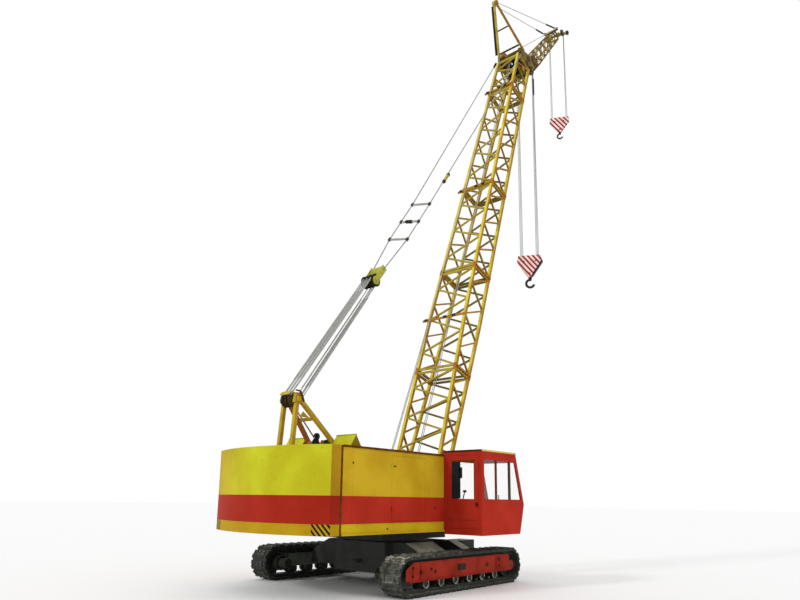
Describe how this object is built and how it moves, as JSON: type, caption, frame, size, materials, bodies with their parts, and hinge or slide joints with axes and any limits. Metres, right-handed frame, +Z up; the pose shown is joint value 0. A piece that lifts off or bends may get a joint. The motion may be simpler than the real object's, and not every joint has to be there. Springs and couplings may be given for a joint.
{
  "type": "crawler crane",
  "caption": "Crawler crane with a lattice boom, short fixed jib, A-frame gantry, round-tailed machine house, side cab and hook blocks.",
  "frame": {"origin": "on the ground under the slewing axis", "axes": "+X forward along the tracks and the boom, +Y to the left, +Z up"},
  "size_m": [16.4909, 5.54, 23.614],
  "materials": {
    "yellow_paint": "satin",
    "red_paint": "satin",
    "dark_steel": "satin",
    "track_steel": "rough",
    "rope_steel": "satin",
    "grey_paint": "satin",
    "window_glass": "polished",
    "seat_cloth": "matte"
  },
  "bodies": {
    "undercarriage": {"track_l": "track_steel", "track_r": "track_steel", "sprockets": "dark_steel", "idlers": "dark_steel", "rollers": "dark_steel", "track_frame_l": "red_paint", "track_frame_r": "red_paint", "travel_drives": "dark_steel", "carbody": "grey_paint", "slew_ring": "dark_steel"},
    "upper": {"cab_console": "dark_steel", "cab_glass": "window_glass", "cab_roof": "red_paint", "cab_seat": "seat_cloth", "cab_shell": "red_paint", "counterweight": "grey_paint", "engine": "grey_paint", "gantry_front_legs": "yellow_paint", "gantry_head": "dark_steel", "gantry_rear_legs": "yellow_paint", "gantry_sheaves": "dark_steel", "house_front": "yellow_paint", "house_roof": "yellow_paint", "house_side_l": "yellow_paint", "house_side_r": "yellow_paint", "house_tail": "yellow_paint", "roof_hood": "yellow_paint", "turntable": "dark_steel"},
    "house_door_l": {"house_door_l": "yellow_paint"},
    "house_door_r": {"house_door_r": "yellow_paint"},
    "cab_door": {"cab_door": "red_paint", "door_glass": "window_glass"},
    "boom": {"boom_foot": "yellow_paint", "boom_lower": "yellow_paint", "boom_middle": "yellow_paint", "boom_upper": "yellow_paint", "boom_head": "yellow_paint", "boom_head_frame": "yellow_paint", "hoist_sheaves": "dark_steel", "jib": "yellow_paint", "jib_sheaves": "dark_steel", "jib_strut": "yellow_paint", "jib_stays": "rope_steel"},
    "luffing_falls": {"luffing_falls_lower": "rope_steel"},
    "bridle": {"bridle": "yellow_paint", "luffing_falls_upper": "rope_steel", "pendants": "rope_steel"},
    "main_falls": {"main_falls": "rope_steel", "main_block": "yellow_paint"},
    "main_hook": {"main_hook": "dark_steel"},
    "aux_falls": {"aux_falls": "rope_steel", "aux_block": "yellow_paint"},
    "aux_hook": {"aux_hook": "dark_steel"}
  },
  "joints": [
    {"name": "slew", "type": "hinge", "parent": "undercarriage", "child": "upper", "pos_m": [0, 0, 1.09], "axis": [0, 0, 1], "continuous": true},
    {"name": "boom_luff", "type": "hinge", "parent": "upper", "child": "boom", "pos_m": [0.88, 0, 1.56], "axis": [0, 1, 0], "range_deg": [-4, 37]},
    {"name": "stay_swing", "type": "hinge", "parent": "upper", "child": "luffing_falls", "pos_m": [-3.46, 0, 4.27], "axis": [0, 1, 0], "range_deg": [-4.2, 34.6]},
    {"name": "stay_reach", "type": "slide", "parent": "luffing_falls", "child": "bridle", "axis": [0.5655, 0, 0.8247], "range_m": [-0.37, 3.24]},
    {"name": "main_falls_swing", "type": "hinge", "parent": "boom", "child": "main_falls", "pos_m": [7.64673, 0, 18.99104], "axis": [0, 1, 0], "range_deg": [-37, 4]},
    {"name": "main_hook_swivel", "type": "hinge", "parent": "main_falls", "child": "main_hook", "pos_m": [7.89993, 0, 10.39], "axis": [0, 0, 1], "continuous": true},
    {"name": "aux_falls_swing", "type": "hinge", "parent": "boom", "child": "aux_falls", "pos_m": [10.74297, 0, 22.53482], "axis": [0, 1, 0], "range_deg": [-37, 4]},
    {"name": "aux_hook_swivel", "type": "hinge", "parent": "aux_falls", "child": "aux_hook", "pos_m": [10.87297, 0, 17.85], "axis": [0, 0, 1], "continuous": true},
    {"name": "cab_door_hinge", "type": "hinge", "parent": "upper", "child": "cab_door", "pos_m": [-0.164, -2.9375, 2.2], "axis": [0, 0, 1], "range_deg": [0, 100]},
    {"name": "house_door_l_hinge", "type": "hinge", "parent": "upper", "child": "house_door_l", "pos_m": [-2.0625, 1.939, 2.3], "axis": [0, 0, 1], "range_deg": [0, 110]},
    {"name": "house_door_r_hinge", "type": "hinge", "parent": "upper", "child": "house_door_r", "pos_m": [-2.0625, -1.939, 2.3], "axis": [0, 0, 1], "range_deg": [-110, 0]}
  ],
  "couplings": [
    {"joint": "stay_swing", "follows": "boom_luff", "ratio": 0.9203},
    {"joint": "stay_reach", "follows": "boom_luff", "m_per_rad": 4.98},
    {"joint": "main_falls_swing", "follows": "boom_luff", "ratio": -1},
    {"joint": "aux_falls_swing", "follows": "boom_luff", "ratio": -1}
  ]
}
